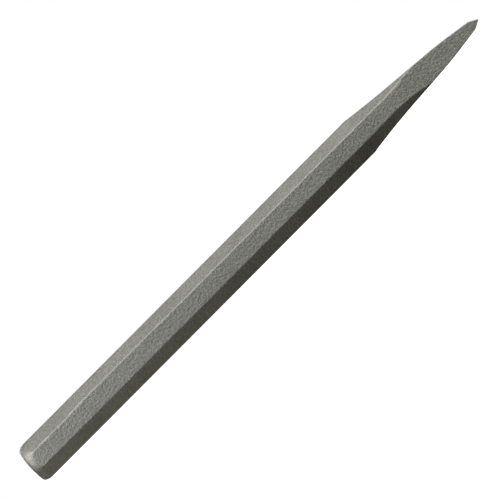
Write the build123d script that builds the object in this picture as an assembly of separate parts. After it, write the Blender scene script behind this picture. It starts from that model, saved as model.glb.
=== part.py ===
from build123d import *
import math
import os

os.makedirs("parts", exist_ok=True)

# A cold chisel: one forging of octagonal tool steel bar, lying on a flat of the bar.
# +X runs along the bar from the struck head to the cutting edge, +Z is up, and the
# origin is under the middle of the length, on the surface that the chisel lies on.
# All sizes are in millimetres. A name ending in _from_edge is a distance back from the
# cutting edge, and a name ending in _half is a distance from the bar's axis.

# bar
length = 290.0
across_flats = 20.0
ridge_radius = 0.8

# head: a crowned face, a rounded rim and a long cone, all turned about the bar's axis
crown_radius = 45.0
crown_half = 8.85
cone_angle = 21.3
rim_radius = 1.6

# blade thickness: hollow from the shoulder to the waist, straight, a belly, two bevels
shoulder_from_edge = 76.0
waist_from_edge = 48.0
waist_half = 7.0
belly_start_from_edge = 27.0
belly_start_half = 5.36
belly_end_from_edge = 15.0
belly_end_half = 4.02
bevel_from_edge = 4.0
bevel_half = 2.45
edge_land = 0.3

# blade width: the sides flare out from the bar's flats in an easy double curve
blade_width = 24.0
flare_end_from_edge = 45.0

# corners: the bar's slanting flats run out here, to a narrow break along the blade
fade_from_edge = 36.0
fade_half = 6.06
corner_break = 0.2

bar_half = across_flats / 2
flat_half = bar_half * math.tan(math.pi / 8)
blade_half = blade_width / 2
x_head = -length / 2
x_edge = length / 2

# further from the axis than any point of the chisel
reach = 2 * blade_half


def at(from_edge, half):
    """A point of an outline, half a thickness away from the bar's axis."""
    return Vector(x_edge - from_edge, half)


def slab(outline, roll):
    """The space between an outline and its mirror image, rolled about the bar's axis."""
    upper = Wire(outline)
    lower = upper.mirror(Plane.XZ)
    head_end = Line(upper @ 0, lower @ 0)
    edge_end = Line(upper @ 1, lower @ 1)
    face = make_face([*upper.edges(), *lower.edges(), head_end, edge_end])
    return Rot(roll, 0, 0) * extrude(face, amount=reach, both=True)


def thickness_slab():
    """The broad faces, from the bar's top and bottom flats to the cutting edge."""
    shoulder = at(shoulder_from_edge, bar_half)
    waist = at(waist_from_edge, waist_half)
    belly_start = at(belly_start_from_edge, belly_start_half)
    belly_end = at(belly_end_from_edge, belly_end_half)
    bevel = at(bevel_from_edge, bevel_half)
    outline = [
        Line(at(length, bar_half), shoulder),
        TangentArc(waist, shoulder, tangent=waist - belly_start),
        Line(waist, belly_start),
        TangentArc(belly_start, belly_end, tangent=belly_start - waist),
        Line(belly_end, bevel),
        Line(bevel, at(0, edge_land / 2)),
    ]
    return slab(outline, 90)


def width_slab():
    """The sides, from the bar's side flats to the two ends of the cutting edge."""
    shoulder = at(shoulder_from_edge, bar_half)
    flare_end = at(flare_end_from_edge, blade_half)
    flare_in = TangentArc(shoulder, (shoulder + flare_end) / 2, tangent=(1, 0))
    outline = [
        Line(at(length, bar_half), shoulder),
        flare_in,
        TangentArc(flare_in @ 1, flare_end, tangent=flare_in % 1),
        Line(flare_end, at(0, blade_half)),
    ]
    return slab(outline, 0)


def corner_slab(roll):
    """One pair of the bar's slanting flats, which run out to the corners of the blade."""
    def corner(from_edge, width_half, thickness_half):
        return at(from_edge, (width_half + thickness_half) / math.sqrt(2))

    def blade_corner(from_edge, thickness_half):
        return corner(from_edge, blade_half, thickness_half - corner_break)

    shoulder = at(shoulder_from_edge, bar_half)
    lift_from_edge = (shoulder_from_edge + flare_end_from_edge) / 2
    lift = corner(lift_from_edge, (bar_half + blade_half) / 2, flat_half)
    fade = blade_corner(fade_from_edge, fade_half)
    belly_start = blade_corner(belly_start_from_edge, belly_start_half)
    belly_end = blade_corner(belly_end_from_edge, belly_end_half)
    bevel = blade_corner(bevel_from_edge, bevel_half)
    lift_in = TangentArc(shoulder, lift, tangent=(1, 0))
    outline = [
        Line(at(length, bar_half), shoulder),
        lift_in,
        TangentArc(lift, fade, tangent=lift_in % 1),
        Line(fade, belly_start),
        TangentArc(belly_start, belly_end, tangent=belly_start - fade),
        Line(belly_end, bevel),
        Line(bevel, blade_corner(0, edge_land / 2)),
    ]
    return slab(outline, roll)


def turned_head():
    """The crowned face and the cone, turned about the axis, with room for the whole blade."""
    def crown_point(half):
        return Vector(x_head + crown_radius - math.sqrt(crown_radius**2 - half**2), half)

    rim = crown_point(crown_half)
    cone_length = (reach - crown_half) / math.tan(math.radians(cone_angle))
    cone_end = rim + Vector(cone_length, reach - crown_half)
    crown = ThreePointArc(crown_point(0), crown_point(crown_half / 2), rim)
    outside = Polyline(rim, cone_end, (x_edge, reach), (x_edge, 0), crown_point(0))
    turned = revolve(make_face(crown + outside), Axis.X)
    circles = turned.edges().filter_by(lambda edge: edge.is_closed).sort_by(Axis.X)
    return fillet(circles[0], rim_radius)


chisel = thickness_slab() & width_slab() & corner_slab(45) & corner_slab(-45) & turned_head()
bar_ridges = chisel.edges().filter_by(Axis.X).group_by(SortBy.LENGTH)[-1]
chisel = Pos(0, 0, bar_half) * fillet(bar_ridges, ridge_radius)
export_step(chisel, "parts/chisel.step")
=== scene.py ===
import math

import bpy
import numpy as np
from mathutils import Matrix, Vector, noise


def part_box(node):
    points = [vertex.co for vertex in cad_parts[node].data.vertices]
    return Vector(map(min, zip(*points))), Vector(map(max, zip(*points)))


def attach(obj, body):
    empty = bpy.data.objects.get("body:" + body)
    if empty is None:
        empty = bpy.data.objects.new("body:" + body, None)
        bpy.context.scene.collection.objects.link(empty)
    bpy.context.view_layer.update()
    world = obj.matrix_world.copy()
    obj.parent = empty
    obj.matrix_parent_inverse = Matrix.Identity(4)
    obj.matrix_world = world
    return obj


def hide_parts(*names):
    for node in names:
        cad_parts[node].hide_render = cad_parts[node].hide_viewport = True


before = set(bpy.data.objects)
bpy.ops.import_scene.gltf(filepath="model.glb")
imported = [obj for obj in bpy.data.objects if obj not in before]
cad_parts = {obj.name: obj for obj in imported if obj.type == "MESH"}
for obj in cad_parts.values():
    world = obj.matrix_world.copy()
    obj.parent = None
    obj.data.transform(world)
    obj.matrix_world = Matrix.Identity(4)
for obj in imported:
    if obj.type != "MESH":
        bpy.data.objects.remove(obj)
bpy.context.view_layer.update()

# The looks of a cold chisel, forged in one piece, in metres and in the CAD model's frame.
low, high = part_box("chisel")

MM = 0.001

# ---------------------------------------------------------------- outlines
# Places along the chisel are distances back from the cutting edge, and heights are
# distances out from its axis. A knee is (place, height, ease): two straight runs meet
# there, and the corner between them is rounded over the ease, before and after it.

LENGTH = high.x - low.x
BAR_HALF = (high.z - low.z) / 2
BLADE_HALF = (high.y - low.y) / 2
AXIS_HEIGHT = (high.z + low.z) / 2
SHOULDER = 76 * MM
BEVEL = 4.2 * MM
BEVEL_HALF = 2.45 * MM
BELLY = 21 * MM
BELLY_HALF = 4.87 * MM
HOLLOW = 62 * MM
HOLLOW_HALF = 8.1 * MM
EDGE_HALF = 0.13 * MM
EDGE_WEAR = 0.25 * MM
# The sides flare out from the bar's width to the blade's.
FLARE_START = 68.25 * MM
FLARE_END = 52.75 * MM
FLARE_EASE = 7.5 * MM
# The slanting flats run out, and beyond that they only break the blade's corners.
FADE_START = 70.4 * MM
FADE_END = 36 * MM
FADE_HALF = 6.06 * MM
CORNER_BREAK = 0.2 * MM
# The least half height of a side, between its two slanting flats.
THINNEST_SIDE_HALF = 0.05 * MM

THICKNESS = [
    (0, EDGE_HALF, 0),
    (BEVEL, BEVEL_HALF, 0.25 * MM),
    (BELLY, BELLY_HALF, 6 * MM),
    (HOLLOW, HOLLOW_HALF, 12.5 * MM),
    (SHOULDER, BAR_HALF, 1.2 * MM),
    (LENGTH, BAR_HALF, 0),
]
WIDTH = [
    (0, BLADE_HALF, 0),
    (FLARE_END, BLADE_HALF, FLARE_EASE),
    (FLARE_START, BAR_HALF, FLARE_EASE),
    (LENGTH, BAR_HALF, 0),
]


def blade_corner(thickness_half):
    """How far out the slanting flats stand where they only break the blade's corners."""
    return (BLADE_HALF + thickness_half - CORNER_BREAK) / math.sqrt(2)


SLANT = [
    (0, blade_corner(EDGE_HALF), 0),
    (BEVEL, blade_corner(BEVEL_HALF), 0.25 * MM),
    (BELLY, blade_corner(BELLY_HALF), 6 * MM),
    (FADE_END, blade_corner(FADE_HALF), 3 * MM),
    (FADE_START, BAR_HALF, 6 * MM),
    (LENGTH, BAR_HALF, 0),
]

# The rolled bar isn't a perfect octagon: its two slanting flats on the -Y side wander.
UPPER_SLANT_ERROR = [
    (0, 0, 0),
    (35 * MM, 0, 3 * MM),
    (43 * MM, 0.25 * MM, 4 * MM),
    (54 * MM, 0.12 * MM, 5 * MM),
    (90 * MM, 0.22 * MM, 10 * MM),
    (190 * MM, 0.29 * MM, 10 * MM),
    (212 * MM, 0.42 * MM, 8 * MM),
    (254.5 * MM, 0.42 * MM, 3 * MM),
    (261.5 * MM, 0.05 * MM, 3 * MM),
    (LENGTH, 0.05 * MM, 0),
]
LOWER_SLANT_ERROR = [
    (0, 0, 0),
    (34 * MM, 0, 2 * MM),
    (42 * MM, -0.50 * MM, 4 * MM),
    (60 * MM, -0.60 * MM, 6 * MM),
    (74 * MM, -0.34 * MM, 6 * MM),
    (120 * MM, -0.32 * MM, 15 * MM),
    (155 * MM, -0.22 * MM, 15 * MM),
    (LENGTH, -0.18 * MM, 0),
]
# The forged blade isn't dead straight: it droops a little from the shoulder on.
BLADE_BEND = [
    (0, -0.46 * MM, 0),
    (25 * MM, -0.28 * MM, 9 * MM),
    (54 * MM, 0, 9 * MM),
    (LENGTH, 0, 0),
]


def eased_line(places, knees):
    """Heights along the straight runs between knees, with each inner corner rounded."""
    knee_places, knee_heights, eases = (np.array(column, float) for column in zip(*knees))
    heights = np.interp(places, knee_places, knee_heights)
    turns = np.diff(np.diff(knee_heights) / np.diff(knee_places))
    for place, ease, turn in zip(knee_places[1:-1], eases[1:-1], turns):
        near = np.clip(ease - np.abs(places - place), 0, None)
        heights = heights + turn * near**2 / (4 * ease)
    return heights


def falloff(distance, reach):
    """1 at no distance, falling away to almost nothing at three times the reach."""
    return np.exp(-((distance / reach) ** 2))


# ---------------------------------------------------------------- the turned head
CROWN_RADIUS = 45 * MM
RIM = 9.0 * MM
RIM_EASE = 0.75 * MM
CONE_RUN = 1 / math.tan(math.radians(21.3))
CONE_OUT = 11.5 * MM
CONE_BLEND = 0.6 * MM
# The end wasn't cut quite square: the turned head leans, and the bar takes up the rest.
HEAD_LEAN = math.tan(math.radians(3.1))
LEAN_FROM, LEAN_TO = 40 * MM, 10 * MM
# Leaning, the crown would stand out past the end of the box by this much.
LEAN_SET_BACK = CROWN_RADIUS * HEAD_LEAN**2 / 2


def head_depth(radius):
    """How far behind the head's top a turned ring of that radius lies."""
    crown = np.minimum(radius, RIM) ** 2 / (2 * CROWN_RADIUS)
    cone = np.clip(radius - RIM, 0, None) * CONE_RUN
    near = np.clip(RIM_EASE - np.abs(radius - RIM), 0, None)
    turn = CONE_RUN - RIM / CROWN_RADIUS
    return crown + cone + turn * near**2 / (4 * RIM_EASE)


def smooth_least(first, second, blend):
    """The lesser of two, with the corner between them rounded over the blend."""
    share = np.clip(0.5 + 0.5 * (second - first) / blend, 0, 1)
    return second * (1 - share) + first * share - blend * share * (1 - share)


# ---------------------------------------------------------------- rings along the chisel
CREASE_REACH = 0.35 * MM
CREASE_STEP = 0.09 * MM
BEVEL_STEP = 0.35 * MM
BLADE_STEP = 0.5 * MM
SHOULDER_REACH = 2 * MM
BAR_STEP = 0.62 * MM
CONE_STEP = 0.1 * MM
RIM_STEP = 0.13 * MM
FACE_STEP = 0.5 * MM
INNERMOST_RING = 0.4 * MM
# More room than any ring needs, where the turned head takes nothing off the bar.
ROOM_TO_SPARE = 1.0


def spaced(start, end, step):
    """Evenly spaced places from start up to, but without, end."""
    return np.linspace(start, end, max(2, round((end - start) / step)), endpoint=False)


def ring_stations():
    """Each ring's place, and the radius that the turned head leaves room for there."""
    radii = np.concatenate([
        spaced(INNERMOST_RING, RIM - RIM_EASE, FACE_STEP),
        spaced(RIM - RIM_EASE, RIM + RIM_EASE, RIM_STEP),
        spaced(RIM + RIM_EASE, CONE_OUT, CONE_STEP),
    ])
    head = (LENGTH - head_depth(radii))[::-1]
    places = np.concatenate([
        spaced(EDGE_WEAR, CREASE_REACH, CREASE_STEP),
        spaced(CREASE_REACH, BEVEL - CREASE_REACH, BEVEL_STEP),
        spaced(BEVEL - CREASE_REACH, BEVEL + CREASE_REACH, CREASE_STEP),
        spaced(BEVEL + CREASE_REACH, SHOULDER + SHOULDER_REACH, BLADE_STEP),
        spaced(SHOULDER + SHOULDER_REACH, head[0], BAR_STEP),
        head,
    ])
    room = np.concatenate([np.full(len(places) - len(radii), ROOM_TO_SPARE), radii[::-1]])
    return places, room


# ---------------------------------------------------------------- the eight flats
# Flat 0 faces +Y and the rest follow at 45 degrees: 1 is the upper slanting flat on that
# side, 2 the top, and so on round to 7. Each count is the strips that a flat is cut into.
FLAT_STRIPS = [14, 12, 22, 12, 14, 12, 22, 12]
UPPER_BACK, TOP, UPPER_FRONT, LOWER_FRONT, BOTTOM = 1, 2, 3, 5, 6
RIDGE_STRIPS = 3
RIDGE_RADIUS = 0.65 * MM
EIGHTH = math.pi / 4
# The most of a narrow flat that the ridge at each of its sides may take.
RIDGE_SHARE = 0.48
# Ridges are rubbed, and lightened partly as a painted highlight, over this reach, and less so beside
# a flat narrower than this.
WEAR_AND_HIGHLIGHT_REACH = 0.26 * MM
NARROW_FLAT = 2 * MM
# How smooth the blade's broad faces are, where the upper slanting flats count as 1.
BROAD_SMOOTHNESS = 0.6


def flat_distances(places):
    """Each flat's distance from the axis, at each ring."""
    thickness = eased_line(places, THICKNESS)
    slant = eased_line(places, SLANT)
    widest = math.sqrt(2) * slant - THINNEST_SIDE_HALF
    width = np.minimum(eased_line(places, WIDTH), widest)
    distances = np.stack([width, slant, thickness, slant] * 2, axis=1)
    distances[:, UPPER_FRONT] += eased_line(places, UPPER_SLANT_ERROR)
    distances[:, LOWER_FRONT] += eased_line(places, LOWER_SLANT_ERROR)
    return distances


def smoother_skin(places):
    """How smooth each point's skin is: the upper slanting flats and the broad faces are."""
    flats = np.repeat(np.arange(len(FLAT_STRIPS)), np.array(FLAT_STRIPS) + RIDGE_STRIPS)
    slanting = np.isin(flats, (UPPER_BACK, UPPER_FRONT))
    broad = np.isin(flats, (TOP, BOTTOM))
    forged = np.clip((SHOULDER - places) / (SHOULDER - HOLLOW), 0, 1)
    return np.maximum(slanting, BROAD_SMOOTHNESS * forged[:, None] * broad)


def ring_sections(distances):
    """Points (ring, point, 2) round each rounded octagon, and the ridge wear at each, which also
    paints a highlight.
    """
    cos, sin = math.cos(EIGHTH), math.sin(EIGHTH)
    flat_end = (np.roll(distances, -1, axis=1) - distances * cos) / sin
    flat_start = -(np.roll(distances, 1, axis=1) - distances * cos) / sin
    length = flat_end - flat_start
    room = np.minimum(length, np.roll(length, -1, axis=1)) * RIDGE_SHARE
    setback = np.minimum(RIDGE_RADIUS * math.tan(EIGHTH / 2), room)
    # How much each ridge is lightened: real wear, and partly a painted highlight.
    wear_and_highlight = np.clip(room / NARROW_FLAT, 0, 1)
    points, worn_and_highlit = [], []
    for flat, strips in enumerate(FLAT_STRIPS):
        facing = flat * EIGHTH
        normal = np.array([math.cos(facing), math.sin(facing)])
        along = np.array([-math.sin(facing), math.cos(facing)])
        start = flat_start[:, flat] + setback[:, flat - 1]
        end = flat_end[:, flat] - setback[:, flat]
        for share in np.linspace(0, 1, strips + 1):
            offset = start + (end - start) * share
            points.append(distances[:, flat, None] * normal + offset[:, None] * along)
            before = wear_and_highlight[:, flat - 1] * falloff(offset - start, WEAR_AND_HIGHLIGHT_REACH)
            after = wear_and_highlight[:, flat] * falloff(end - offset, WEAR_AND_HIGHLIGHT_REACH)
            worn_and_highlit.append(np.maximum(before, after))
        radius = setback[:, flat] / math.tan(EIGHTH / 2)
        centre = (distances[:, flat] - radius)[:, None] * normal + end[:, None] * along
        for step in range(1, RIDGE_STRIPS):
            turned = facing + EIGHTH * step / RIDGE_STRIPS
            outward = np.array([math.cos(turned), math.sin(turned)])
            points.append(centre + radius[:, None] * outward)
            worn_and_highlit.append(wear_and_highlight[:, flat])
    return np.stack(points, axis=1), np.stack(worn_and_highlit, axis=1)


# ---------------------------------------------------------------- the chisel's faces
def edge_faces(around):
    """Closes the first ring, at the cutting edge, with strips between its two lips."""
    starts = np.cumsum([0] + [strips + RIDGE_STRIPS for strips in FLAT_STRIPS])
    top = list(range(starts[TOP], starts[TOP + 1] - RIDGE_STRIPS + 1))
    bottom = list(range(starts[BOTTOM], starts[BOTTOM + 1] - RIDGE_STRIPS + 1))[::-1]
    faces = []
    for step in range(len(top) - 1):
        faces.append((top[step], top[step + 1], bottom[step + 1], bottom[step]))
    left = tuple(range(top[-1], bottom[-1] + 1))
    right = tuple(range(bottom[0], around)) + tuple(range(top[0] + 1))
    return faces + [left, right]


def tube_faces(rings, around, crown):
    """Faces between neighbouring rings, and a fan from the last ring to the crown point."""
    faces = []
    for ring in range(rings - 1):
        for point in range(around):
            other = (point + 1) % around
            a, b = ring * around + point, ring * around + other
            faces.append((a, a + around, b + around, b))
    last = (rings - 1) * around
    for point in range(around):
        faces.append((last + point, crown, last + (point + 1) % around))
    return faces


# ---------------------------------------------------------------- the skin's relief
# Everything here is cut inward from the true surface, so nothing leaves the CAD's box.
WAVE, WAVE_DEPTH, WAVE_STRETCH = 9 * MM, 0.05 * MM, 3
DENT, DENT_DEPTH = 3.4 * MM, 0.035 * MM
GRAIN, GRAIN_DEPTH = 1.5 * MM, 0.03 * MM
NICK, NICK_DEPTH, NICK_THRESHOLD = 2.6 * MM, 0.06 * MM, 0.1
# The share of the blasted relief that grinding takes off the bevels.
GROUND_AWAY = 0.8

# The turned rim is rubbed less than a ridge, and the heel of the bevels as much. On the ridges and
# the rim the rubbed colour is partly a painted highlight.
CONE_SOFTENING = 0.2 * MM
RIM_WEAR_AND_HIGHLIGHT, RIM_WEAR_AND_HIGHLIGHT_REACH = 0.6, 0.7 * MM
HEEL_WEAR_REACH = 0.3 * MM
# The grinding stops this far short of the blade's sides.
GROUND_MARGIN = 0.3 * MM


def hollows(point, size, depth):
    """A depth between nothing and the most, in soft hollows of that size."""
    return depth * (0.5 + 0.5 * noise.noise(point / size))


def relief_depth(point, rub_and_highlight, ground):
    """How far the blasted skin lies below the true surface at that point."""
    rolled = Vector((point.x / WAVE_STRETCH, point.y, point.z))
    waves = hollows(rolled, WAVE, WAVE_DEPTH)
    blasted = waves + hollows(point, DENT, DENT_DEPTH) + hollows(point, GRAIN, GRAIN_DEPTH)
    nicks = max(0.0, noise.noise(point / NICK) - NICK_THRESHOLD) * NICK_DEPTH * rub_and_highlight
    return blasted * (1 - GROUND_AWAY * ground) + nicks * (1 - ground)


def surface_points(places, sections):
    """Every ring's points in space, with the head leaning and the blade drooping."""
    rings, around = sections.shape[:2]
    co = np.empty((rings, around, 3))
    leaning = np.clip((places - LENGTH + LEAN_FROM) / (LEAN_FROM - LEAN_TO), 0, 1)[:, None]
    set_back = HEAD_LEAN * sections[:, :, 1] + LEAN_SET_BACK
    co[:, :, 0] = high.x - places[:, None] + leaning * set_back
    co[:, :, 1] = sections[:, :, 0]
    co[:, :, 2] = AXIS_HEIGHT + eased_line(places, BLADE_BEND)[:, None] + sections[:, :, 1]
    crown = (low.x + LEAN_SET_BACK, 0, AXIS_HEIGHT)
    return np.concatenate([co.reshape(-1, 3), [crown]])


def surface_marks(places, sections, worn_and_highlit, turned, taken):
    """How rubbed, ground and smooth each point is; the rubbed colour is partly a painted highlight.
    The last, the crown's, is none of them.
    """
    on_cone = np.clip(taken / CONE_SOFTENING, 0, 1)
    # The rubbed rim is lightened, partly as a painted highlight.
    rim = RIM_WEAR_AND_HIGHLIGHT * falloff(turned - RIM, RIM_WEAR_AND_HIGHLIGHT_REACH) * (on_cone > 0)
    heel = falloff(places - BEVEL, HEEL_WEAR_REACH)[:, None]
    rub_and_highlight = np.maximum.reduce([worn_and_highlit * (1 - on_cone), rim, heel + 0 * rim])
    inside = np.abs(sections[:, :, 0]) < BLADE_HALF - GROUND_MARGIN
    ground = ((places < BEVEL)[:, None] & inside).astype(float)
    smoother = smoother_skin(places) * (1 - on_cone)
    marks = {"rub_and_highlight": rub_and_highlight, "ground": ground, "smoother": smoother}
    return {name: np.append(values.ravel(), 0) for name, values in marks.items()}


def build_chisel():
    """The whole forging as one closed mesh, with its rubbed places, partly a painted highlight, and
    its ground places marked.
    """
    places, room = ring_stations()
    sections, worn_and_highlit = ring_sections(flat_distances(places))
    radius = np.linalg.norm(sections, axis=2)
    turned = smooth_least(radius, room[:, None], CONE_BLEND)
    sections = sections * (turned / radius)[:, :, None]
    rings, around = radius.shape
    vertices = surface_points(places, sections)
    marks = surface_marks(places, sections, worn_and_highlit, turned, radius - turned)

    mesh = bpy.data.meshes.new("forged_chisel")
    faces = tube_faces(rings, around, len(vertices) - 1) + edge_faces(around)
    mesh.from_pydata(vertices.tolist(), [], faces)
    mesh.shade_smooth()
    normals = np.empty(len(vertices) * 3, np.float32)
    mesh.vertex_normals.foreach_get("vector", normals)
    normals = normals.reshape(-1, 3)
    depths = np.array([
        relief_depth(Vector(point), rub_and_highlight, ground)
        for point, rub_and_highlight, ground in zip(vertices, marks["rub_and_highlight"], marks["ground"])
    ])
    cut = vertices - normals * depths[:, None]
    mesh.vertices.foreach_set("co", cut.astype(np.float32).ravel())
    for name, values in marks.items():
        layer = mesh.attributes.new(name, "FLOAT", "POINT")
        layer.data.foreach_set("value", values.astype(np.float32))
    mesh.update()
    piece = bpy.data.objects.new("forged_chisel", mesh)
    bpy.context.scene.collection.objects.link(piece)
    return piece


chisel = build_chisel()
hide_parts("chisel")
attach(chisel, "root")


# ---------------------------------------------------------------- materials
# A noise is (grain size, detail, lowest, highest): its values between the lowest and the
# highest are spread from 0 to 1.
GRAIN_NOISE = (0.9 * MM, 4, 0.3, 0.7)
GRIT_NOISE = (0.42 * MM, 2, 0.3, 0.7)
CLOUD_NOISE = (14 * MM, 3, 0.3, 0.7)
PIT_NOISE = (1.2 * MM, 1, 0.3, 0.7)
SCUFF_NOISE = (2.2 * MM, 4, 0.3, 0.6)
# The grinding lines cross the edge: that noise is drawn out along X and Z.
LINE_NOISE = (0.35 * MM, 3, 0.35, 0.65)
LINE_SQUEEZE = (0.04, 1, 0.04)

DARK_SKIN, PALE_SKIN = (0.24, 0.239, 0.214), (0.48, 0.478, 0.441)
# The colour of the ridges, rim and bevel heel: real rubbed steel, and on the ridges and rim partly a
# painted highlight.
RUBBED_STEEL_AND_HIGHLIGHT = (0.44, 0.436, 0.41)
DARK_GROUND, PALE_GROUND = (0.42, 0.415, 0.40), (0.62, 0.61, 0.59)
ROUGHNESS = 0.52
SKIN_BUMP = 0.085 * MM
LINE_BUMP = 0.02 * MM
# The share of the bump that the smoother flats lose.
SMOOTHED_AWAY = 0.62

# The Mix node's sockets for two colours and for their mixture.
MIX_FIRST, MIX_SECOND, MIX_RESULT = 6, 7, 2


def add(tree, kind, inputs=(), **settings):
    """A new node, with its settings and with its inputs given values or joined to outputs."""
    made = tree.nodes.new(kind)
    for name, value in settings.items():
        setattr(made, name, value)
    for name, value in dict(inputs).items():
        if isinstance(value, bpy.types.NodeSocket):
            tree.links.new(value, made.inputs[name])
        else:
            made.inputs[name].default_value = value
    return made


def mark(tree, name):
    """One of the marks that the mesh carries at its points."""
    return add(tree, "ShaderNodeAttribute", attribute_name=name).outputs["Fac"]


def speckle(tree, place, size, detail, lowest, highest):
    """Noise of that grain size, spread from 0 to 1 between its lowest and highest values."""
    cloud = add(tree, "ShaderNodeTexNoise", {"Vector": place, "Scale": 1 / size, "Detail": detail})
    spread = {"Value": cloud.outputs["Fac"], "From Min": lowest, "From Max": highest}
    return add(tree, "ShaderNodeMapRange", spread).outputs["Result"]


def scaled(tree, place, scale):
    """The place with its x, y and z multiplied, which draws a noise out where one is small."""
    return add(tree, "ShaderNodeMapping", {"Vector": place, "Scale": scale}).outputs["Vector"]


def blend(tree, share, first, second):
    """Colours mixed from first to second by the share."""
    mix = add(tree, "ShaderNodeMix", {"Factor": share}, data_type="RGBA")
    for socket, value in ((mix.inputs[MIX_FIRST], first), (mix.inputs[MIX_SECOND], second)):
        if isinstance(value, bpy.types.NodeSocket):
            tree.links.new(value, socket)
        else:
            socket.default_value = (*value, 1)
    return mix.outputs[MIX_RESULT]


def sum_up(tree, start, *parts):
    """A start value plus a sum of (output, weight) pairs."""
    total = start
    for output, weight in parts:
        step = add(tree, "ShaderNodeMath", {0: output, 1: weight, 2: total}, operation="MULTIPLY_ADD")
        total = step.outputs[0]
    return total


def steel_material():
    """Shot-blasted steel: grained and cloudy, rubbed on its ridges, whose lighter colour is partly a
    painted highlight, with ground bevels.
    """
    material = bpy.data.materials.new("blasted_steel")
    material.use_nodes = True
    tree = material.node_tree
    shader = tree.nodes["Principled BSDF"]
    shader.inputs["Metallic"].default_value = 1.0
    place = add(tree, "ShaderNodeTexCoord").outputs["Object"]

    rub_and_highlight = mark(tree, "rub_and_highlight")
    ground = mark(tree, "ground")
    smoother = mark(tree, "smoother")

    grain = speckle(tree, place, *GRAIN_NOISE)
    grit = speckle(tree, place, *GRIT_NOISE)
    clouds = speckle(tree, place, *CLOUD_NOISE)
    pits = speckle(tree, place, *PIT_NOISE)
    scuffs = speckle(tree, place, *SCUFF_NOISE)
    lines = speckle(tree, scaled(tree, place, LINE_SQUEEZE), *LINE_NOISE)
    worn_and_highlit = add(tree, "ShaderNodeMath", {0: rub_and_highlight, 1: scuffs}, operation="MULTIPLY").outputs[0]

    tone = sum_up(tree, 0.0, (grain, 0.5), (grit, 0.3), (clouds, 0.2))
    skin = blend(tree, tone, DARK_SKIN, PALE_SKIN)
    # Ridges, rim and heel are lightened here: partly rubbed steel, partly a painted highlight.
    skin = blend(tree, worn_and_highlit, skin, RUBBED_STEEL_AND_HIGHLIGHT)
    cut = blend(tree, lines, DARK_GROUND, PALE_GROUND)
    tree.links.new(blend(tree, ground, skin, cut), shader.inputs["Base Color"])

    rough = sum_up(tree, ROUGHNESS, (grain, 0.06), (grit, 0.06), (worn_and_highlit, -0.06), (ground, -0.1))
    tree.links.new(rough, shader.inputs["Roughness"])

    height = sum_up(tree, 0.0, (pits, 1.0), (grain, 0.45), (grit, 0.2))
    grained = sum_up(tree, 1.0, (ground, -1.0), (smoother, -SMOOTHED_AWAY))
    bump = add(tree, "ShaderNodeBump", {"Strength": grained, "Distance": SKIN_BUMP, "Height": height})
    cuts = {"Strength": ground, "Distance": LINE_BUMP, "Height": lines, "Normal": bump.outputs[0]}
    tree.links.new(add(tree, "ShaderNodeBump", cuts).outputs[0], shader.inputs["Normal"])
    return material


chisel.data.materials.append(steel_material())


# ---------------------------------------------------------------- stage
# The chisel's lamps light the chisel alone, and the floor has a sun of its own.
FLOOR_HALF = 8.0
FLOOR_COLOUR = (0.9, 0.9, 0.9, 1)
FLOOR_ROUGHNESS = 0.8
SUN_POWER = 5.6
SUN_SPREAD = math.radians(80)
SUN_DIRECTION = Vector((0.25, 0.35, -1.0))
# The backdrop is white to the camera, and gives the chisel only this much light.
BACKDROP_SEEN, BACKDROP_LIGHT = 1.0, 0.02
BOUNCED = (1, 0.98, 0.85)
NEAR_LAMP = {"size": 0.25, "reach": 0.4}


def make_floor():
    """A wide pale floor, which isn't mirrored in the chisel."""
    mesh = bpy.data.meshes.new("floor")
    corners = [(-1, -1), (1, -1), (1, 1), (-1, 1)]
    points = [(x * FLOOR_HALF, y * FLOOR_HALF, 0) for x, y in corners]
    mesh.from_pydata(points, [], [(0, 1, 2, 3)])
    floor = bpy.data.objects.new("floor", mesh)
    bpy.context.scene.collection.objects.link(floor)
    material = bpy.data.materials.new("floor_paper")
    material.use_nodes = True
    shader = material.node_tree.nodes["Principled BSDF"]
    shader.inputs["Base Color"].default_value = FLOOR_COLOUR
    shader.inputs["Roughness"].default_value = FLOOR_ROUGHNESS
    mesh.materials.append(material)
    floor.visible_diffuse = False
    floor.visible_glossy = False
    floor.visible_shadow = False
    return floor


def light_only(lamp, receiver):
    """Keeps a lamp's light for one object, though others still cast shadows in it."""
    group = bpy.data.collections.new(lamp.name + "_receiver")
    group.objects.link(receiver)
    lamp.light_linking.receiver_collection = group


def area_light(name, angle, rise, power, size=0.7, reach=1.2, colour=(1, 1, 1)):
    """A soft square lamp aimed at the middle, for the chisel alone. Its angle turns it from the
    camera's side towards the head, its rise lifts it, and its reach is how far away it is."""
    angle, rise = math.radians(angle), math.radians(rise)
    level = math.cos(rise)
    direction = Vector((-math.sin(angle) * level, -math.cos(angle) * level, math.sin(rise)))
    data = bpy.data.lights.new(name, "AREA")
    data.size = size
    data.energy = power
    data.color = colour
    lamp = bpy.data.objects.new(name, data)
    lamp.location = direction * reach
    lamp.rotation_euler = (-direction).to_track_quat("-Z", "Y").to_euler()
    bpy.context.scene.collection.objects.link(lamp)
    light_only(lamp, chisel)


def paper_light():
    """An even white light on the floor alone, soft enough to leave a faint shadow."""
    data = bpy.data.lights.new("paper_light", "SUN")
    data.energy = SUN_POWER
    data.angle = SUN_SPREAD
    lamp = bpy.data.objects.new("paper_light", data)
    lamp.rotation_euler = SUN_DIRECTION.to_track_quat("-Z", "Y").to_euler()
    bpy.context.scene.collection.objects.link(lamp)
    light_only(lamp, floor)


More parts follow.
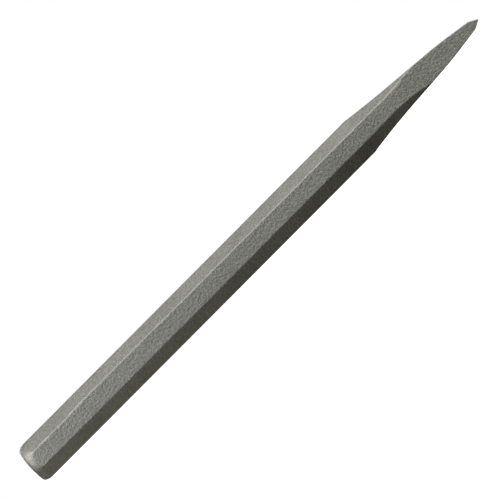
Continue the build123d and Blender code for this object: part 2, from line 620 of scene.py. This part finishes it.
def white_world():
    """A backdrop that the camera sees as white, and that hardly lights anything."""
    world = bpy.data.worlds.new("studio")
    bpy.context.scene.world = world
    world.use_nodes = True
    tree = world.node_tree
    seen = add(tree, "ShaderNodeLightPath").outputs["Is Camera Ray"]
    levels = {"Value": seen, "To Min": BACKDROP_LIGHT, "To Max": BACKDROP_SEEN}
    strength = add(tree, "ShaderNodeMapRange", levels).outputs["Result"]
    background = tree.nodes["Background"]
    background.inputs["Color"].default_value = (1, 1, 1, 1)
    tree.links.new(strength, background.inputs["Strength"])


floor = make_floor()
paper_light()
area_light("front_right", -50, 45, 12.4)
area_light("front_left", 50, 45, 7.7)
area_light("low_front", 40, 10, 1.1, reach=0.7)
area_light("low_bounce", 105, -60, 0.42, reach=0.8, colour=BOUNCED)
area_light("front_bounce", 30, -65, 0.14, colour=BOUNCED)
area_light("near_head", 52, 6, 0.14, **NEAR_LAMP)
area_light("near_bounce", 95, -60, 0.045, colour=BOUNCED, **NEAR_LAMP)
area_light("near_front", 30, -60, 0.02, colour=BOUNCED, **NEAR_LAMP)
area_light("near_tip", -45, 20, 0.045, **NEAR_LAMP)
area_light("back_left", 140, 24, 3.3)
area_light("back_right", -140, 24, 2.8)
area_light("back_low_left", 140, -12, 1.6)
area_light("back_low_right", -140, -12, 2.6)
area_light("tip_side", -112, 30, 4)
white_world()
bpy.context.scene.view_settings.view_transform = "Standard"


# ---------------------------------------------------------------- camera
# It looks level along +Y, rolled until the chisel lies on the frame's diagonal.
LEAN = math.radians(45.127)
FRAME_WIDTH = 0.2295
LENS = 300.0
SENSOR = 36.0
AIM_RIGHT = -1.46 * MM
AIM_UP = -2.87 * MM
CLIP_END = 100.0

camera_data = bpy.data.cameras.new("camera")
camera_data.lens = LENS
camera_data.sensor_width = SENSOR
camera_data.clip_end = CLIP_END
camera = bpy.data.objects.new("camera", camera_data)
bpy.context.scene.collection.objects.link(camera)
right = Vector((math.cos(LEAN), 0, -math.sin(LEAN)))
up = Vector((math.sin(LEAN), 0, math.cos(LEAN)))
back = Vector((0, -1, 0))
aim = Vector((0, 0, AXIS_HEIGHT)) + right * AIM_RIGHT + up * AIM_UP
place = aim + back * (FRAME_WIDTH * LENS / SENSOR)
camera.matrix_world = Matrix((
    (right.x, up.x, back.x, place.x),
    (right.y, up.y, back.y, place.y),
    (right.z, up.z, back.z, place.z),
    (0, 0, 0, 1),
))
bpy.context.scene.camera = camera
